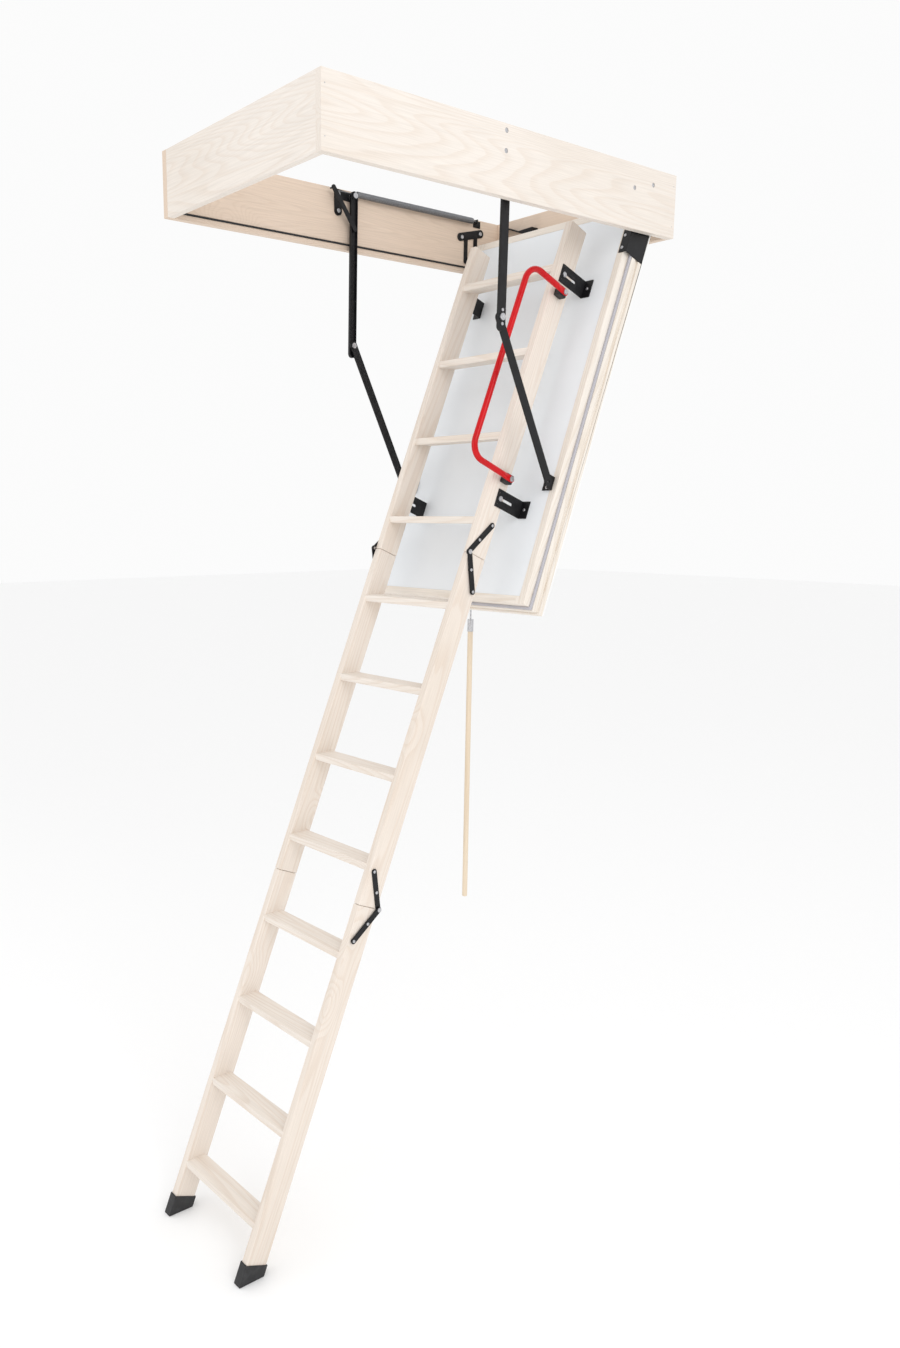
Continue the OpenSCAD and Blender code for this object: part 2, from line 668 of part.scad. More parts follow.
// ---- Pole, hanging from the eye ----
module pole_hook() color("silver") translate([rim[0], 0, rim[1]]) {
    rotate([90, 0, 0]) rotate([0, 0, -90]) rotate_extrude(angle = 270) translate([hook_r, 0])
        circle(r = hook_wire);
    translate([0, 0, -hook_neck]) cylinder(r = hook_wire, h = hook_neck - hook_r);
    translate([0, 0, -hook_neck - ferrule]) difference() {
        cylinder(d = pole_d + 2, h = ferrule + 2);
        translate([0, 0, -1]) cylinder(d = pole_d + 2 * fit, h = ferrule);
    }
}
module pole_stick() color("burlywood") translate([rim[0], 0, rim[1] - hook_neck - 1 - pole_len])
    cylinder(d = pole_d, h = pole_len);

long_board_near();
long_board_far();
short_board_hinge_end();
short_board_free_end();
corner_nails();
box_seals();
arm_brackets();
arm_pivot_pins();
hinge_bars();
hinge_pins();
side_bolts();
tension_springs();
spring_anchors();
leaf_strip();
strike_plate();
hatch_side_rail_near();
hatch_side_rail_far();
hatch_end_rails();
hatch_foam();
attic_panel();
ceiling_panel();
hatch_seal();
hinge_plates();
hatch_arm_brackets();
hatch_arm_pins();
hatch_screws();
slotted_brackets();
bracket_bolts();
lock_case();
lock_eye();
latch_bolt();
upper_stringer_near();
upper_stringer_far();
upper_treads();
handrail();
handrail_spacers();
handrail_bolts();
upper_knee_straps();
middle_stringer_near();
middle_stringer_far();
middle_treads();
middle_knee_straps();
lower_stringer_near();
lower_stringer_far();
lower_treads();
lower_knee_straps();
knee_pins_upper();
knee_pins_lower();
strap_screws_upper();
strap_screws_middle();
strap_screws_lower();
feet();
upper_arm_near();
upper_arm_far();
lower_arm_near();
lower_arm_far();
elbow_pin_near();
elbow_pin_far();
pole_stick();
pole_hook();
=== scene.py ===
import json
import math

import bmesh
import bpy
from mathutils import Matrix, Vector

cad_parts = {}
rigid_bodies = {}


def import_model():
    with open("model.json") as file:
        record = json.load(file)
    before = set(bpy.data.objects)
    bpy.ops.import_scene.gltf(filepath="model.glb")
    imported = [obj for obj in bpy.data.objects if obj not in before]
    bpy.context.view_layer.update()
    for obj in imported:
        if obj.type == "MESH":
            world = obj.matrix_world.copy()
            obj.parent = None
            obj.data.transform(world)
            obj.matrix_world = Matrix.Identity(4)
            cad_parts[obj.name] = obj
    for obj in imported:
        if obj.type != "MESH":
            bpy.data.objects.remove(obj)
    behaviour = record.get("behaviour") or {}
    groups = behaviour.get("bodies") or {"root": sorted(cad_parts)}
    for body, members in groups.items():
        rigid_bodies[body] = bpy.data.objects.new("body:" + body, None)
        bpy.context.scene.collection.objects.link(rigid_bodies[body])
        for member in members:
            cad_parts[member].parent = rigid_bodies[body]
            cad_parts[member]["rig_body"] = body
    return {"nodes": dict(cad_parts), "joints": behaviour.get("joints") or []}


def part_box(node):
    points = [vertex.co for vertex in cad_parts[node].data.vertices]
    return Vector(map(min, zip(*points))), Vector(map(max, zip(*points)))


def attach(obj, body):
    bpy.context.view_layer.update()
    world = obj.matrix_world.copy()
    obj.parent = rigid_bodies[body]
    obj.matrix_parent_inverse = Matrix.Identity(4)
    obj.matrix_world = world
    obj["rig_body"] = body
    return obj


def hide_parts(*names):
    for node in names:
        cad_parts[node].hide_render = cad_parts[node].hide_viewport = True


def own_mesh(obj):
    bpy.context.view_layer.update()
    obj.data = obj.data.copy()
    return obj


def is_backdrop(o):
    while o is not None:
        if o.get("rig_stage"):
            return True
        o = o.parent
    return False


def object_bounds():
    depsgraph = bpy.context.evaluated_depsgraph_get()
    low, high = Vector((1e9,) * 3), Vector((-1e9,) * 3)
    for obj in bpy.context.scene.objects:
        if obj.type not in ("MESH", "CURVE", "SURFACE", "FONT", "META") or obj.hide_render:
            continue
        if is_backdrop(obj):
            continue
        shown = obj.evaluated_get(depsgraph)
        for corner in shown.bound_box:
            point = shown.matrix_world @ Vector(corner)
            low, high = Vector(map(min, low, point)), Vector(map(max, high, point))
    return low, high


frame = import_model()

cad_low, cad_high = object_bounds()
nodes = frame["nodes"]

# Box boards: planed softwood with a thin white wash, 20 mm thick, nailed at the corners.
# The grain of the long boards runs along the box and that of the short ones across it.
WASHED = (0.86, 0.80, 0.74)
# The boards whose inner face is seen take a darker, warmer copy of the same pine: painted shade of the box's inside.
SHADED_INNER_TONE = (0.78, 0.64, 0.525)
RING_LINE = (0.70, 0.56, 0.445)
KNOT_TONE = (0.42, 0.27, 0.17)


def wire(tree, kind, sockets=None, **settings):
    """Adds a node; a socket is either a value or another node's output."""
    made = tree.nodes.new("ShaderNode" + kind)
    for key, value in settings.items():
        setattr(made, key, value)
    for key, value in (sockets or {}).items():
        if isinstance(value, bpy.types.NodeSocket):
            tree.links.new(value, made.inputs[key])
        else:
            made.inputs[key].default_value = value
    return made


def tones(tree, value, stops):
    """A colour ramp through (place, colour) stops."""
    ramp = wire(tree, "ValToRGB", {"Fac": value})
    while len(ramp.color_ramp.elements) < len(stops):
        ramp.color_ramp.elements.new(1.0)
    for element, (place, colour) in zip(ramp.color_ramp.elements, stops):
        element.position = place
        element.color = (*colour, 1) if isinstance(colour, tuple) else (colour, colour, colour, 1)
    return ramp.outputs["Color"]


def finish_of(name, **constants):
    """A material whose even numbers sit on the shader's own sockets."""
    material = bpy.data.materials.new(name)
    material.use_nodes = True
    tree = material.node_tree
    shader = tree.nodes["Principled BSDF"]
    for key, value in constants.items():
        shader.inputs[key.replace("_", " ")].default_value = value
    place = wire(tree, "TexCoord").outputs["Object"]
    return material, tree, shader, place


def relief(tree, shader, height, strength, distance):
    bump = wire(tree, "Bump", {"Height": height, "Strength": strength, "Distance": distance})
    tree.links.new(bump.outputs["Normal"], shader.inputs["Normal"])


def pine(name, turn=(0, 0, 0), base=WASHED, line=RING_LINE, seed=0.0, knots=0.045, rings=52.0, contrast=0.3):
    """Washed pine whose grain runs along X after the turn."""
    material, tree, shader, place = finish_of(name, Specular_IOR_Level=0.32)
    shift = (seed, seed * 0.37, seed * 0.61)
    along = wire(tree, "Mapping", {"Vector": place, "Location": shift, "Rotation": turn, "Scale": (17, 1, 1)},
                 vector_type="TEXTURE").outputs["Vector"]
    short = wire(tree, "Mapping", {"Vector": place, "Location": shift, "Rotation": turn, "Scale": (1.7, 1, 1)},
                 vector_type="TEXTURE").outputs["Vector"]
    fibre_place = wire(tree, "Mapping", {"Vector": place, "Rotation": turn, "Scale": (45, 1, 1)},
                       vector_type="TEXTURE").outputs["Vector"]
    spot = wire(tree, "TexVoronoi", {"Vector": short, "Scale": 4.1}).outputs["Distance"]
    near_knot = wire(tree, "MapRange", {"Value": spot, "From Min": 0.0, "From Max": 0.28,
                                         "To Min": 0.16, "To Max": 0.0},
                     interpolation_type="SMOOTHSTEP").outputs["Result"]
    swell = wire(tree, "TexNoise", {"Vector": along, "Scale": 7.0, "Detail": 1.5, "Roughness": 0.45}).outputs["Fac"]
    swollen = wire(tree, "Math", {0: swell, 1: near_knot}, operation="ADD").outputs[0]
    count = wire(tree, "Math", {0: swollen, 1: rings}, operation="MULTIPLY").outputs[0]
    growth = wire(tree, "Math", {0: count}, operation="FRACT").outputs[0]
    late = wire(tree, "MapRange", {"Value": growth, "From Min": 0.35, "From Max": 0.9, "To Min": 0.0, "To Max": 1.0},
                interpolation_type="SMOOTHSTEP").outputs["Result"]
    edge = wire(tree, "MapRange", {"Value": growth, "From Min": 0.9, "From Max": 1.0, "To Min": 1.0, "To Max": 0.0},
                interpolation_type="SMOOTHSTEP").outputs["Result"]
    ring = wire(tree, "Math", {0: late, 1: edge}, operation="MULTIPLY").outputs[0]
    fibre = wire(tree, "TexNoise", {"Vector": fibre_place, "Scale": 420.0, "Detail": 3.0}).outputs["Fac"]
    cloud = wire(tree, "TexNoise", {"Vector": short, "Scale": 3.0, "Detail": 2.0}).outputs["Fac"]
    share = wire(tree, "Math", {0: ring, 1: contrast}, operation="MULTIPLY").outputs[0]
    wood = wire(tree, "Mix", {"Factor": share, "A": (*base, 1), "B": (*line, 1)}, data_type="RGBA")
    speck = tones(tree, fibre, [(0.3, 0.90), (0.7, 1.0)])
    patch = tones(tree, cloud, [(0.3, (0.94, 0.925, 0.905)), (0.7, (1.0, 1.0, 1.0))])
    fine = wire(tree, "Mix", {"Factor": 1.0, "A": wood.outputs["Result"], "B": speck},
                data_type="RGBA", blend_type="MULTIPLY")
    broad = wire(tree, "Mix", {"Factor": 1.0, "A": fine.outputs["Result"], "B": patch},
                 data_type="RGBA", blend_type="MULTIPLY")
    in_knot = wire(tree, "MapRange", {"Value": spot, "From Min": knots * 0.55, "From Max": knots,
                                       "To Min": 0.75, "To Max": 0.0},
                   interpolation_type="SMOOTHSTEP").outputs["Result"]
    knotted = wire(tree, "Mix", {"Factor": in_knot, "A": broad.outputs["Result"], "B": (*KNOT_TONE, 1)},
                   data_type="RGBA")
    tree.links.new(knotted.outputs["Result"], shader.inputs["Base Color"])
    dull = wire(tree, "MapRange", {"Value": fibre, "To Min": 0.5, "To Max": 0.68}).outputs["Result"]
    tree.links.new(dull, shader.inputs["Roughness"])
    depth = wire(tree, "Math", {0: fibre, 1: ring}, operation="ADD").outputs[0]
    relief(tree, shader, depth, 0.25, 0.0004)
    return material


def piece_of(bm, name, body, material, stands_for=(), crease=35):
    """Makes the mesh a piece that rides on its body."""
    mesh = bpy.data.meshes.new(name)
    bm.to_mesh(mesh)
    bm.free()
    mesh.materials.append(material)
    mesh.shade_smooth()
    mesh.set_sharp_from_angle(angle=math.radians(crease))
    piece = bpy.data.objects.new(name, mesh)
    bpy.context.scene.collection.objects.link(piece)
    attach(piece, body)
    if stands_for:
        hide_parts(*stands_for)
    return piece


def solid_of(node):
    """The node's mesh with its corners joined and its flat faces whole."""
    bm = bmesh.new()
    bm.from_mesh(nodes[node].data)
    bmesh.ops.remove_doubles(bm, verts=bm.verts, dist=3e-6)
    bmesh.ops.dissolve_limit(bm, angle_limit=math.radians(0.4), verts=bm.verts, edges=bm.edges)
    return bm


def eased(node, width, material, shortest=0.009, steps=2):
    """The node again, with its long sharp edges rounded."""
    bm = solid_of(node)
    edges = [e for e in bm.edges
             if e.is_manifold and e.calc_length() > shortest and e.calc_face_angle() > math.radians(32)]
    bmesh.ops.bevel(bm, geom=edges, offset=width, offset_type="OFFSET", segments=steps, profile=0.5,
                    affect="EDGES", clamp_overlap=True, material=-1)
    return piece_of(bm, node + "_eased", nodes[node]["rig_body"], material, [node], crease=18)


def coat(node, material):
    """Gives a carried-over solid its finish."""
    data = nodes[node].data
    data.materials.clear()
    data.materials.append(material)


ACROSS = (0, 0, math.pi / 2)
BOARD_EDGE = 0.0015
coat("long_board_near", pine("board_near", seed=0.3, contrast=0.2))
# The far board and the hinge-end board carry the darker inner tone, painted shade of the box's inside.
coat("long_board_far", pine("board_far", base=SHADED_INNER_TONE, seed=1.7, contrast=0.42))
eased("short_board_hinge_end", BOARD_EDGE, pine("board_hinge_end", ACROSS, base=SHADED_INNER_TONE, seed=2.9))
eased("short_board_free_end", BOARD_EDGE, pine("board_free_end", ACROSS, seed=4.4, contrast=0.2))

# Corner nails, hinge pins and arm pins: bright zinc on turned steel, lightly streaked.
# The pins are held at one side and turn in their plates.


def zinc(name, colour=(0.62, 0.62, 0.64), rough=0.3):
    material, tree, shader, place = finish_of(name, Metallic=1.0)
    mottle = wire(tree, "TexNoise", {"Vector": place, "Scale": 260.0, "Detail": 4.0}).outputs["Fac"]
    bloom = wire(tree, "TexVoronoi", {"Vector": place, "Scale": 700.0}).outputs["Distance"]
    darker = tuple(c * 0.72 for c in colour)
    tree.links.new(tones(tree, mottle, [(0.35, darker), (0.65, colour)]), shader.inputs["Base Color"])
    dull = wire(tree, "MapRange", {"Value": bloom, "To Min": rough, "To Max": rough + 0.2}).outputs["Result"]
    tree.links.new(dull, shader.inputs["Roughness"])
    relief(tree, shader, mottle, 0.15, 0.0001)
    return material


bright_zinc = zinc("bright_zinc")
for node in ("corner_nails", "arm_pivot_pins", "hinge_pins", "hatch_arm_pins", "knee_pins_upper", "knee_pins_lower"):
    coat(node, bright_zinc)

# Box seals: dark foamed rubber pressed into the groove of three boards.
# Its open skin is dull and finely pitted.


def rubber(name, colour, rough):
    material, tree, shader, place = finish_of(name, Specular_IOR_Level=0.3)
    pits = wire(tree, "TexNoise", {"Vector": place, "Scale": 900.0, "Detail": 3.0}).outputs["Fac"]
    low = tuple(c * 0.8 for c in colour)
    tree.links.new(tones(tree, pits, [(0.35, low), (0.65, colour)]), shader.inputs["Base Color"])
    dull = wire(tree, "MapRange", {"Value": pits, "To Min": rough, "To Max": rough + 0.15}).outputs["Result"]
    tree.links.new(dull, shader.inputs["Roughness"])
    relief(tree, shader, pits, 0.3, 0.0003)
    return material


eased("box_seals", 0.001, rubber("dark_rubber", (0.025, 0.026, 0.028), 0.7))

# Black brackets, bars, arms and straps: pressed steel, powder coated in satin black.
# The coat has a fine orange peel, and greys in random dusty patches.


def powder_coat(name, colour=(0.004, 0.004, 0.005), rough=0.32):
    material, tree, shader, place = finish_of(name, Specular_IOR_Level=0.3)
    peel = wire(tree, "TexNoise", {"Vector": place, "Scale": 1300.0, "Detail": 2.0}).outputs["Fac"]
    dust = wire(tree, "TexNoise", {"Vector": place, "Scale": 38.0, "Detail": 5.0, "Roughness": 0.65}).outputs["Fac"]
    grey = tuple(c * 1.8 + 0.004 for c in colour)
    tree.links.new(tones(tree, dust, [(0.42, colour), (0.75, grey)]), shader.inputs["Base Color"])
    dull = wire(tree, "MapRange", {"Value": dust, "To Min": rough, "To Max": rough + 0.2}).outputs["Result"]
    tree.links.new(dull, shader.inputs["Roughness"])
    relief(tree, shader, peel, 0.35, 0.0002)
    return material


STEEL_EDGE = 0.0005
black_coat = powder_coat("black_powder_coat")
for node in ("arm_brackets", "hinge_bars", "spring_anchors", "leaf_strip", "hinge_plates", "hatch_arm_brackets",
             "slotted_brackets", "upper_knee_straps", "middle_knee_straps", "lower_knee_straps",
             "upper_arm_near", "upper_arm_far", "lower_arm_near", "lower_arm_far"):
    eased(node, STEEL_EDGE, black_coat)

# Through bolts of the box: hexagon heads inside the board, nuts and bolt ends sunk outside.
# Every head in the piece is one pattern, set down at each place.


def turned_to(axis, at):
    """Where a pattern stands: its Z along the axis, its foot at the point."""
    return Matrix.Translation(at) @ Vector(axis).to_track_quat("Z", "Y").to_matrix().to_4x4()


def lifted(bm, face, grow, lift):
    """Draws the face out by a step and returns the new face."""
    new = bmesh.ops.extrude_face_region(bm, geom=[face, *face.edges])["geom"]
    verts = [v for v in new if isinstance(v, bmesh.types.BMVert)]
    bmesh.ops.scale(bm, vec=(grow, grow, 1), verts=verts)
    bmesh.ops.translate(bm, vec=(0, 0, lift), verts=verts)
    return [f for f in new if isinstance(f, bmesh.types.BMFace)][0]


def foot(bm, sides, radius):
    return bmesh.ops.create_circle(bm, cap_ends=True, segments=sides, radius=radius)["verts"][0].link_faces[0]


def hexagon(radius, height):
    """A chamfered six-sided nut or head, with a round land on top."""
    bm = bmesh.new()
    top = lifted(bm, foot(bm, 6, radius), 1.0, height * 0.86)
    lifted(bm, top, 0.86, height * 0.14)
    return bm


def star_socket(bm, face, depth):
    """Six-lobed recess for a driver."""
    inner = lifted(bm, face, 0.62, 0.0)
    for i, vert in enumerate(inner.verts):
        pull = 1.0 if i % 2 else 0.72
        vert.co.x *= pull
        vert.co.y *= pull
    lifted(bm, inner, 0.95, -depth)


def dome_head(radius, height):
    """A pan head with a six-lobed recess."""
    bm = bmesh.new()
    face = foot(bm, 12, radius)
    for grow, lift in ((1.0, 0.3), (0.93, 0.35), (0.8, 0.22), (0.68, 0.13)):
        face = lifted(bm, face, grow, lift * height)
    star_socket(bm, face, height * 0.5)
    return bm


def set_down(target, pattern, place):
    """Adds the pattern to the target at that place."""
    mesh = bpy.data.meshes.new("pattern")
    pattern.to_mesh(mesh)
    before = len(target.verts)
    target.from_mesh(mesh)
    target.verts.ensure_lookup_table()
    bmesh.ops.transform(target, matrix=place, verts=target.verts[before:])
    bpy.data.meshes.remove(mesh)


def solids_in(node):
    """The vertices of each separate solid of a node."""
    bm = solid_of(node)
    left = set(bm.verts)
    found = []
    while left:
        group, edge_of = [], [left.pop()]
        while edge_of:
            v = edge_of.pop()
            group.append(v.co.copy())
            for e in v.link_edges:
                o = e.other_vert(v)
                if o in left:
                    left.discard(o)
                    edge_of.append(o)
        found.append(group)
    bm.free()
    return found


def tops(node, axis):
    """The middle of each solid's outer end along the axis; a None axis is outward across the box."""
    spots = []
    for points in solids_in(node):
        mean_y = sum(p.y for p in points) / len(points)
        way = Vector(axis) if axis else Vector((0, math.copysign(1, mean_y), 0))
        frame_in = way.to_track_quat("Z", "Y").to_matrix()
        local = [frame_in.transposed() @ p for p in points]
        low = [min(p[i] for p in local) for i in range(3)]
        high = [max(p[i] for p in local) for i in range(3)]
        middle = Vector(((low[0] + high[0]) / 2, (low[1] + high[1]) / 2, high[2]))
        spots.append((way, frame_in @ middle, high[2] - low[2]))
    return spots


FLANGE_R, NUT_R, THREAD_R, HEAD_R = 0.0058, 0.0050, 0.0024, 0.0062
bm = bmesh.new()
nut = bmesh.new()
lifted(nut, foot(nut, 24, FLANGE_R), 1.0, 0.0022)
core = hexagon(NUT_R, 0.0016)
bolt_end = bmesh.new()
lifted(bolt_end, lifted(bolt_end, foot(bolt_end, 16, THREAD_R), 1.0, 0.0008), 0.85, 0.0003)
head = hexagon(HEAD_R, 0.0034)
lifted(head, max(head.faces, key=lambda f: f.calc_center_median().z), 0.62, -0.0004)
for way, middle, length in tops("side_bolts", None):
    face = Vector((middle.x, math.copysign(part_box("long_board_far")[1].y, way.y), middle.z))
    set_down(bm, nut, turned_to(way, face - way * 0.0031))
    set_down(bm, core, turned_to(way, face - way * 0.0022))
    set_down(bm, bolt_end, turned_to(way, face - way * 0.0012))
    set_down(bm, head, turned_to(-way, middle - way * (length - 0.0032)))
for pattern in (nut, core, bolt_end, head):
    pattern.free()
bmesh.ops.recalc_face_normals(bm, faces=bm.faces)
piece_of(bm, "side_bolt_heads", "box", bright_zinc, ["side_bolts"], crease=25)

# Tension springs: close-wound wire, one along each long board, hooked on the arm's lever
# at one end and on the anchor at the other by straight wire ends.
WIRE = 0.0013


def spring_wire(bm, low, high, coil_r, start, end):
    """Winds one spring along X inside its envelope, a turn at a time."""
    y, z = (low.y + high.y) / 2, (low.z + high.z) / 2
    turns = int((end - start) / (2.15 * WIRE))
    pitch = (end - start) / turns
    turn = bmesh.new()
    ring = bmesh.ops.create_circle(turn, cap_ends=False, segments=6, radius=WIRE)["verts"]
    bmesh.ops.rotate(turn, verts=ring, cent=(0, 0, 0), matrix=Matrix.Rotation(math.pi / 2, 3, "X"))
    bmesh.ops.translate(turn, verts=ring, vec=(0, 0, coil_r))
    edges = list({e for v in ring for e in v.link_edges})
    bmesh.ops.spin(turn, geom=ring + edges, cent=(0, 0, 0), axis=(1, 0, 0), angle=2 * math.pi,
                   dvec=(pitch / 14, 0, 0), steps=14)
    for i in range(turns):
        set_down(bm, turn, Matrix.Translation((start + i * pitch, y, z)))
    turn.free()
    for a, b in ((low.x, start + 0.002), (end - 0.002, high.x)):
        made = bmesh.ops.create_circle(bm, cap_ends=True, segments=8, radius=WIRE)["verts"]
        bmesh.ops.rotate(bm, verts=made, cent=(0, 0, 0), matrix=Matrix.Rotation(math.pi / 2, 3, "Y"))
        bmesh.ops.translate(bm, verts=made, vec=(a, y, z))
        out = bmesh.ops.extrude_face_region(bm, geom=[made[0].link_faces[0]])["geom"]
        bmesh.ops.translate(bm, verts=[v for v in out if isinstance(v, bmesh.types.BMVert)], vec=(b - a, 0, 0))


bm = bmesh.new()
for points in solids_in("tension_springs"):
    low = Vector([min(p[i] for p in points) for i in range(3)])
    high = Vector([max(p[i] for p in points) for i in range(3)])
    thick = [p.x for p in points if abs(p.z - (low.z + high.z) / 2) > 0.006]
    spring_wire(bm, low, high, (high.z - low.z) / 2 - WIRE, min(thick), max(thick))
bmesh.ops.remove_doubles(bm, verts=bm.verts, dist=1e-5)
bmesh.ops.holes_fill(bm, edges=[e for e in bm.edges if e.is_boundary], sides=0)
bmesh.ops.recalc_face_normals(bm, faces=bm.faces)
springs = piece_of(bm, "spring_coils", "box", zinc("spring_wire", (0.30, 0.305, 0.32), 0.34),
                   ["tension_springs"], crease=60)
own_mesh(springs)

# Strike plate: thin zinc plate with a window for the latch, let into the free-end board.
# Its edges are dressed.
eased("strike_plate", 0.0004, bright_zinc, shortest=0.004)

# Hatch frame: pine rails with a lip, a groove and a shoulder moulded round the edge.
# They hang open at the angle of the hatch hinge, and carry both panels.
RAIL_EDGE = 0.0012
hinge = next(j for j in frame["joints"] if j["name"] == "hatch_hinge")
PIN = Vector(hinge["pos_m"])
OPEN = math.radians(hinge["range_deg"][1])
ALONG_HATCH = (0, -OPEN, 0)
rail_wood = dict(base=(0.86, 0.80, 0.73), line=(0.72, 0.61, 0.49), contrast=0.4)
eased("hatch_side_rail_near", RAIL_EDGE, pine("rail_near", ALONG_HATCH, seed=5.2, **rail_wood))
eased("hatch_side_rail_far", RAIL_EDGE, pine("rail_far", ALONG_HATCH, seed=6.1, **rail_wood))
eased("hatch_end_rails", RAIL_EDGE, pine("rail_ends", ACROSS, seed=7.7, **rail_wood))

# Hatch panels: smooth faced board, white with a trace of blue on the attic side, and the
# white foam between them, which only shows at cut edges.


def faced_board(name, colour, rough):
    material, tree, shader, place = finish_of(name, Specular_IOR_Level=0.4)
    cloud = wire(tree, "TexNoise", {"Vector": place, "Scale": 6.0, "Detail": 4.0}).outputs["Fac"]
    skin = wire(tree, "TexNoise", {"Vector": place, "Scale": 500.0, "Detail": 2.0}).outputs["Fac"]
    low = tuple(c * 0.965 for c in colour)
    tree.links.new(tones(tree, cloud, [(0.3, low), (0.7, colour)]), shader.inputs["Base Color"])
    dull = wire(tree, "MapRange", {"Value": skin, "To Min": rough, "To Max": rough + 0.12}).outputs["Result"]
    tree.links.new(dull, shader.inputs["Roughness"])
    relief(tree, shader, skin, 0.12, 0.0002)
    return material


eased("attic_panel", 0.0008, faced_board("blue_white_face", (0.80, 0.83, 0.86), 0.4))
eased("ceiling_panel", 0.0012, faced_board("white_face", (0.86, 0.86, 0.85), 0.3))
coat("hatch_foam", rubber("white_foam", (0.85, 0.85, 0.83), 0.8))

# Hatch seal: soft grey rubber, a hollow lip that runs round the shoulder.
# Its edge is round where it meets the box.
eased("hatch_seal", 0.0022, rubber("grey_rubber", (0.52, 0.51, 0.55), 0.55), steps=3)

# Hatch screws and strap screws: zinc-plated pan heads with a six-lobed recess, one pattern
# for all. Those of the straps are driven into the stringers.
SCREW_R = 0.0045
SCREW_H = 0.0022
ATTIC_WAY = Vector((-math.sin(OPEN), 0, math.cos(OPEN)))


def screw_heads(node, name, body, radius, height, way):
    bm = bmesh.new()
    pattern = dome_head(radius, height)
    for axis, middle, _ in tops(node, way):
        set_down(bm, pattern, turned_to(axis, middle - axis * (height - 0.0002)))
    pattern.free()
    bmesh.ops.recalc_face_normals(bm, faces=bm.faces)
    piece_of(bm, name, body, bright_zinc, [node], crease=50)


screw_heads("hatch_screws", "hatch_screw_heads", "hatch", SCREW_R, SCREW_H, ATTIC_WAY)
screw_heads("strap_screws_upper", "strap_heads_upper", "hatch", SCREW_R, SCREW_H, None)
screw_heads("strap_screws_middle", "strap_heads_middle", "middle_section", SCREW_R, SCREW_H, None)
screw_heads("strap_screws_lower", "strap_heads_lower", "lower_section", SCREW_R, SCREW_H, None)

# Lag bolts of the slotted brackets and through bolts of the handrail: zinc-plated steel.
# Hexagon heads on round washers; the handrail bolts have one at each end.


def bolt_heads(node, name, body, radius, height, both_ends=False):
    bm = bmesh.new()
    pattern = hexagon(radius * 0.86, height)
    washer = bmesh.new()
    lifted(washer, foot(washer, 24, radius), 1.0, 0.0012)
    for axis, middle, length in tops(node, None):
        ends = [(axis, middle - axis * height)]
        if both_ends:
            ends.append((-axis, middle - axis * (length - height)))
        for way, at in ends:
            set_down(bm, washer, turned_to(way, at))
            set_down(bm, pattern, turned_to(way, at))
    pattern.free()
    washer.free()
    bmesh.ops.recalc_face_normals(bm, faces=bm.faces)
    piece_of(bm, name, body, bright_zinc, [node], crease=25)


bolt_heads("bracket_bolts", "bracket_bolt_heads", "hatch", 0.0075, 0.0034)
bolt_heads("handrail_bolts", "handrail_bolt_heads", "hatch", 0.0075, 0.0038, both_ends=True)

# Lock: a black case let into the end rail, with the zinc eye that the pole pulls down and
# the zinc bolt that slides out into the strike plate.
eased("lock_case", 0.0008, black_coat)
coat("latch_bolt", bright_zinc)
coat("lock_eye", bright_zinc)

# Stringers: long planed pine rails, one pair a section, with the treads housed in them.
# Their front and back edges are rounded, and the grain runs down the ladder.
LADDER = OPEN - math.radians(1.8)
DOWN_LADDER = (0, -LADDER, 0)
FRONT = Matrix.Translation(PIN) @ Matrix.Rotation(-LADDER, 4, "Y") @ Matrix.Translation((0, 0, 0.17))
STRINGER = (0.84, 0.76, 0.685)
FLAT_IN = FRONT.inverted()


def planed_bar(node, wood):
    """A plain rounded bar in the node's place, cut square or as the node's ends are cut."""
    here = [FLAT_IN @ v.co for v in nodes[node].data.vertices]
    low = Vector([min(p[i] for p in here) for i in range(3)])
    high = Vector([max(p[i] for p in here) for i in range(3)])
    bm = bmesh.new()
    bmesh.ops.create_cube(bm, size=1.0)
    bmesh.ops.scale(bm, vec=high - low, verts=bm.verts)
    bmesh.ops.translate(bm, vec=(low + high) / 2, verts=bm.verts)
    for v in bm.verts:
        upper = v.co.x > (low.x + high.x) / 2
        same = [p.x for p in here if abs(p.z - v.co.z) < 0.0005]
        v.co.x = max(same) if upper else min(same)
    bmesh.ops.bevel(bm, geom=bm.edges[:], offset=0.0022, offset_type="OFFSET", segments=3, profile=0.5,
                    affect="EDGES", clamp_overlap=True, material=-1)
    bmesh.ops.transform(bm, matrix=FRONT, verts=bm.verts)
    piece_of(bm, node + "_planed", nodes[node]["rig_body"], wood, [node], crease=18)


for i, section in enumerate(("upper", "middle", "lower")):
    for k, side in enumerate(("near", "far")):
        node = f"{section}_stringer_{side}"
        planed_bar(node, pine(node + "_pine", DOWN_LADDER, base=STRINGER, seed=9.0 + 1.3 * i + 0.6 * k,
                              contrast=0.3, rings=36))

# Treads: pine boards 20 mm thick that lie level, housed 7 mm into the stringers.
# The front edge is rounded.
TREAD = (0.86, 0.79, 0.72)
for i, section in enumerate(("upper", "middle", "lower")):
    wood = pine(section + "_tread_pine", ACROSS, base=TREAD, seed=14.0 + 2.1 * i, contrast=0.3, rings=36)
    eased(section + "_treads", 0.0028, wood, steps=3)

# Foot caps: moulded black plastic, slipped over the cut ends of the stringers.
# Fine moulded grain, with rounded corners.


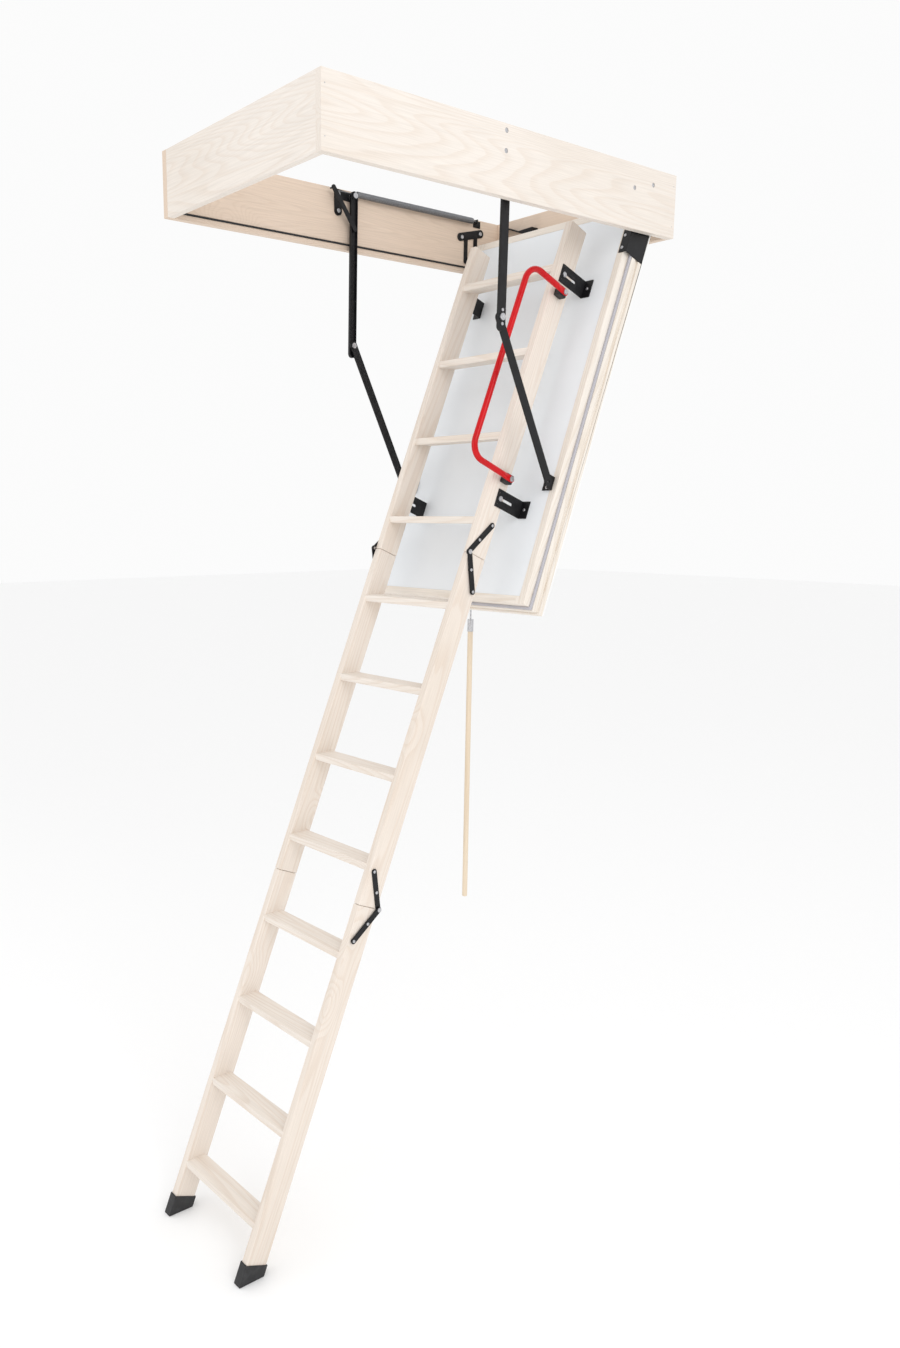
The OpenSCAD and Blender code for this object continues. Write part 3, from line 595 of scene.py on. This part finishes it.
def moulded(name, colour, rough):
    material, tree, shader, place = finish_of(name, Specular_IOR_Level=0.45)
    grain = wire(tree, "TexVoronoi", {"Vector": place, "Scale": 1400.0}).outputs["Distance"]
    scuff = wire(tree, "TexNoise", {"Vector": place, "Scale": 60.0, "Detail": 5.0}).outputs["Fac"]
    worn = tuple(c * 2.2 + 0.004 for c in colour)
    tree.links.new(tones(tree, scuff, [(0.45, colour), (0.8, worn)]), shader.inputs["Base Color"])
    dull = wire(tree, "MapRange", {"Value": scuff, "To Min": rough, "To Max": rough + 0.2}).outputs["Result"]
    tree.links.new(dull, shader.inputs["Roughness"])
    relief(tree, shader, grain, 0.2, 0.0002)
    return material


black_plastic = moulded("black_plastic", (0.014, 0.014, 0.015), 0.42)
eased("feet", 0.0035, black_plastic, steps=3)
eased("handrail_spacers", 0.003, black_plastic, steps=3)

# Handrail: one steel tube, bent twice and pressed flat at both ends, in red gloss paint.
# It is bolted to the outside of the near stringer.
TUBE = 0.009
BEND = 0.045
RAIL_OFF = 0.124
RAIL_Y = -0.2285
RAIL_BOLTS = ((-0.253, -0.030), (-0.799, -0.045))


def drawn(bm, ring, vec, squeeze=(1, 1)):
    """Draws the open ring on by a straight step, and squeezes it in X and Y."""
    edges = list({e for v in ring for e in v.link_edges if e.other_vert(v) in ring})
    new = [g for g in bmesh.ops.extrude_edge_only(bm, edges=edges)["geom"] if isinstance(g, bmesh.types.BMVert)]
    centre = sum((v.co for v in new), Vector()) / len(new)
    for v in new:
        v.co.x = centre.x + (v.co.x - centre.x) * squeeze[0]
        v.co.y = centre.y + (v.co.y - centre.y) * squeeze[1]
    bmesh.ops.translate(bm, verts=new, vec=vec)
    return new


def bent(bm, ring, centre, sign):
    """Bends the tube through a quarter turn about an axis across it."""
    edges = list({e for v in ring for e in v.link_edges if e.other_vert(v) in ring})
    made = bmesh.ops.spin(bm, geom=list(ring) + edges, cent=centre, axis=(0, 1, 0),
                          angle=sign * math.pi / 2, steps=14)
    return [g for g in made["geom_last"] if isinstance(g, bmesh.types.BMVert)]


def rail_half(bm, bolt, way):
    """One leg of the rail, from its flat tip round the bend to the middle of the grip."""
    x, z = bolt
    ring = bmesh.ops.create_circle(bm, cap_ends=False, segments=28, radius=TUBE)["verts"]
    bmesh.ops.translate(bm, verts=ring, vec=(x, RAIL_Y, z - 0.0105))
    for v in ring:
        v.co.x = x + (v.co.x - x) * 0.55
        v.co.y = RAIL_Y + (v.co.y - RAIL_Y) * 0.2
    first = list(ring)
    for lift, squeeze in ((0.0035, (1.5, 1.25)), (0.006, (1.27, 1.1)), (0.016, (1.0, 1.0))):
        ring = drawn(bm, ring, (0, 0, lift), squeeze)
    for lift, squeeze in ((0.005, (0.97, 1.35)), (0.006, (0.96, 1.6)), (0.006, (0.953, 1.35)),
                          (0.005, (0.98, 1.25))):
        ring = drawn(bm, ring, (0, 0, lift), squeeze)
    top = sum(v.co.z for v in ring) / len(ring)
    ring = drawn(bm, ring, (0, 0, RAIL_OFF - BEND - top))
    ring = bent(bm, ring, (x + way * BEND, RAIL_Y, RAIL_OFF - BEND), way)
    half = (RAIL_BOLTS[0][0] + RAIL_BOLTS[1][0]) / 2
    drawn(bm, ring, (half - (x + way * BEND), 0, 0))
    bmesh.ops.contextual_create(bm, geom=first)


bm = bmesh.new()
rail_half(bm, RAIL_BOLTS[0], -1)
rail_half(bm, RAIL_BOLTS[1], 1)
bmesh.ops.remove_doubles(bm, verts=bm.verts, dist=2e-4)
bmesh.ops.recalc_face_normals(bm, faces=bm.faces)
bmesh.ops.transform(bm, matrix=FRONT, verts=bm.verts)
red, tree, shader, place = finish_of("red_gloss_paint", Specular_IOR_Level=0.22, Coat_Weight=0.12,
                                     Coat_Roughness=0.08)
peel = wire(tree, "TexNoise", {"Vector": place, "Scale": 420.0, "Detail": 2.0}).outputs["Fac"]
cloud = wire(tree, "TexNoise", {"Vector": place, "Scale": 14.0, "Detail": 3.0}).outputs["Fac"]
tree.links.new(tones(tree, cloud, [(0.3, (0.50, 0.0, 0.003)), (0.7, (0.60, 0.001, 0.005))]),
               shader.inputs["Base Color"])
tree.links.new(wire(tree, "MapRange", {"Value": cloud, "To Min": 0.2, "To Max": 0.36}).outputs["Result"],
               shader.inputs["Roughness"])
relief(tree, shader, peel, 0.12, 0.0002)
piece_of(bm, "handrail_tube", "hatch", red, ["handrail"], crease=50)

# Elbow bolts of the arms: turned steel pins, zinc plated, with domed heads.
# Each sits between two rivets and joins an upper arm to its lower arm.
for side in ("near", "far"):
    coat("elbow_pin_" + side, bright_zinc)

# Pole: a turned softwood stick with rounded ends, a little warmer than the ladder. It is
# glued into the ferrule of a zinc-plated hook that hangs in the lock's eye.
UPRIGHT = (0, -math.pi / 2, 0)
pole_pine = pine("pole_pine", UPRIGHT, base=(0.80, 0.68, 0.53), line=(0.62, 0.46, 0.31), seed=21.0,
                 knots=0.02, rings=8)
bm = solid_of("pole_stick")
ends = [e for e in bm.edges if e.is_manifold and e.calc_face_angle() > math.radians(60)]
bmesh.ops.bevel(bm, geom=ends, offset=0.003, offset_type="OFFSET", segments=3, profile=0.5, affect="EDGES",
                clamp_overlap=True, material=-1)
piece_of(bm, "pole_turned", "pole", pole_pine, ["pole_stick"])
coat("pole_hook", bright_zinc)

# Studio, which is not part of the ladder: a plain pale floor at the feet, three wide soft
# lamps and an even pale surround.
FLOOR_HALF = 30.0
FLOOR_TONE = 0.96
SURROUND = 0.97
floor_z = cad_low.z
bm = bmesh.new()
bmesh.ops.create_grid(bm, x_segments=1, y_segments=1, size=FLOOR_HALF)
bmesh.ops.translate(bm, verts=bm.verts, vec=(0, 0, floor_z - 0.0005))
mesh = bpy.data.meshes.new("studio_floor")
bm.to_mesh(mesh)
bm.free()
floor = bpy.data.objects.new("studio_floor", mesh)
bpy.context.scene.collection.objects.link(floor)
pale, _, shader, _ = finish_of("pale_floor", Roughness=0.9, Specular_IOR_Level=0.1)
shader.inputs["Base Color"].default_value = (FLOOR_TONE, FLOOR_TONE, FLOOR_TONE, 1)
mesh.materials.append(pale)
floor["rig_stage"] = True

world = bpy.data.worlds.new("studio")
bpy.context.scene.world = world
world.use_nodes = True
world.node_tree.nodes["Background"].inputs["Color"].default_value = (1, 1, 1, 1)
world.node_tree.nodes["Background"].inputs["Strength"].default_value = SURROUND


def lamp(name, at, target, size, power):
    light = bpy.data.lights.new(name, "AREA")
    light.size = size
    light.energy = power
    thing = bpy.data.objects.new(name, light)
    thing.location = at
    thing.rotation_euler = (Vector(target) - Vector(at)).to_track_quat("-Z", "Y").to_euler()
    bpy.context.scene.collection.objects.link(thing)


lamp("key_lamp", (-1.5, -4.6, 1.6), (0, 0, 0.1), 2.6, 56)
lamp("fill_lamp", (-4.6, 0.5, -0.4), (0, 0, -1.0), 3.0, 22)
lamp("low_lamp", (-0.9, -2.6, -2.4), (0.1, 0, 0.1), 1.6, 10)

# Camera: stands below the ceiling at the near left and looks slightly down the ladder.
# Metres for its place, degrees for its turn, millimetres for its lens.
CAMERA_AT = (-2.1233, -2.3817, -0.7699)
YAW, PITCH, ROLL = math.radians(37.892), math.radians(-10.998), math.radians(0.023)
FOCAL = 29.02
SIDE_SHIFT, RISE_SHIFT = 0.0745, 0.0389
lens = bpy.data.cameras.new("camera")
lens.sensor_width = 36
lens.lens = FOCAL
lens.shift_x = SIDE_SHIFT
lens.shift_y = RISE_SHIFT
lens.clip_end = 100
camera = bpy.data.objects.new("camera", lens)
forward = Vector((math.sin(YAW) * math.cos(PITCH), math.cos(YAW) * math.cos(PITCH), math.sin(PITCH)))
right = Vector((math.cos(YAW), -math.sin(YAW), 0))
up = right.cross(forward)
turned_right = right * math.cos(ROLL) + up * math.sin(ROLL)
turned_up = up * math.cos(ROLL) - right * math.sin(ROLL)
turned = Matrix((turned_right, turned_up, -forward)).transposed().to_4x4()
camera.matrix_world = Matrix.Translation(CAMERA_AT) @ turned
bpy.context.scene.collection.objects.link(camera)
bpy.context.scene.camera = camera
bpy.context.scene.view_settings.view_transform = "Standard"

low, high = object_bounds()
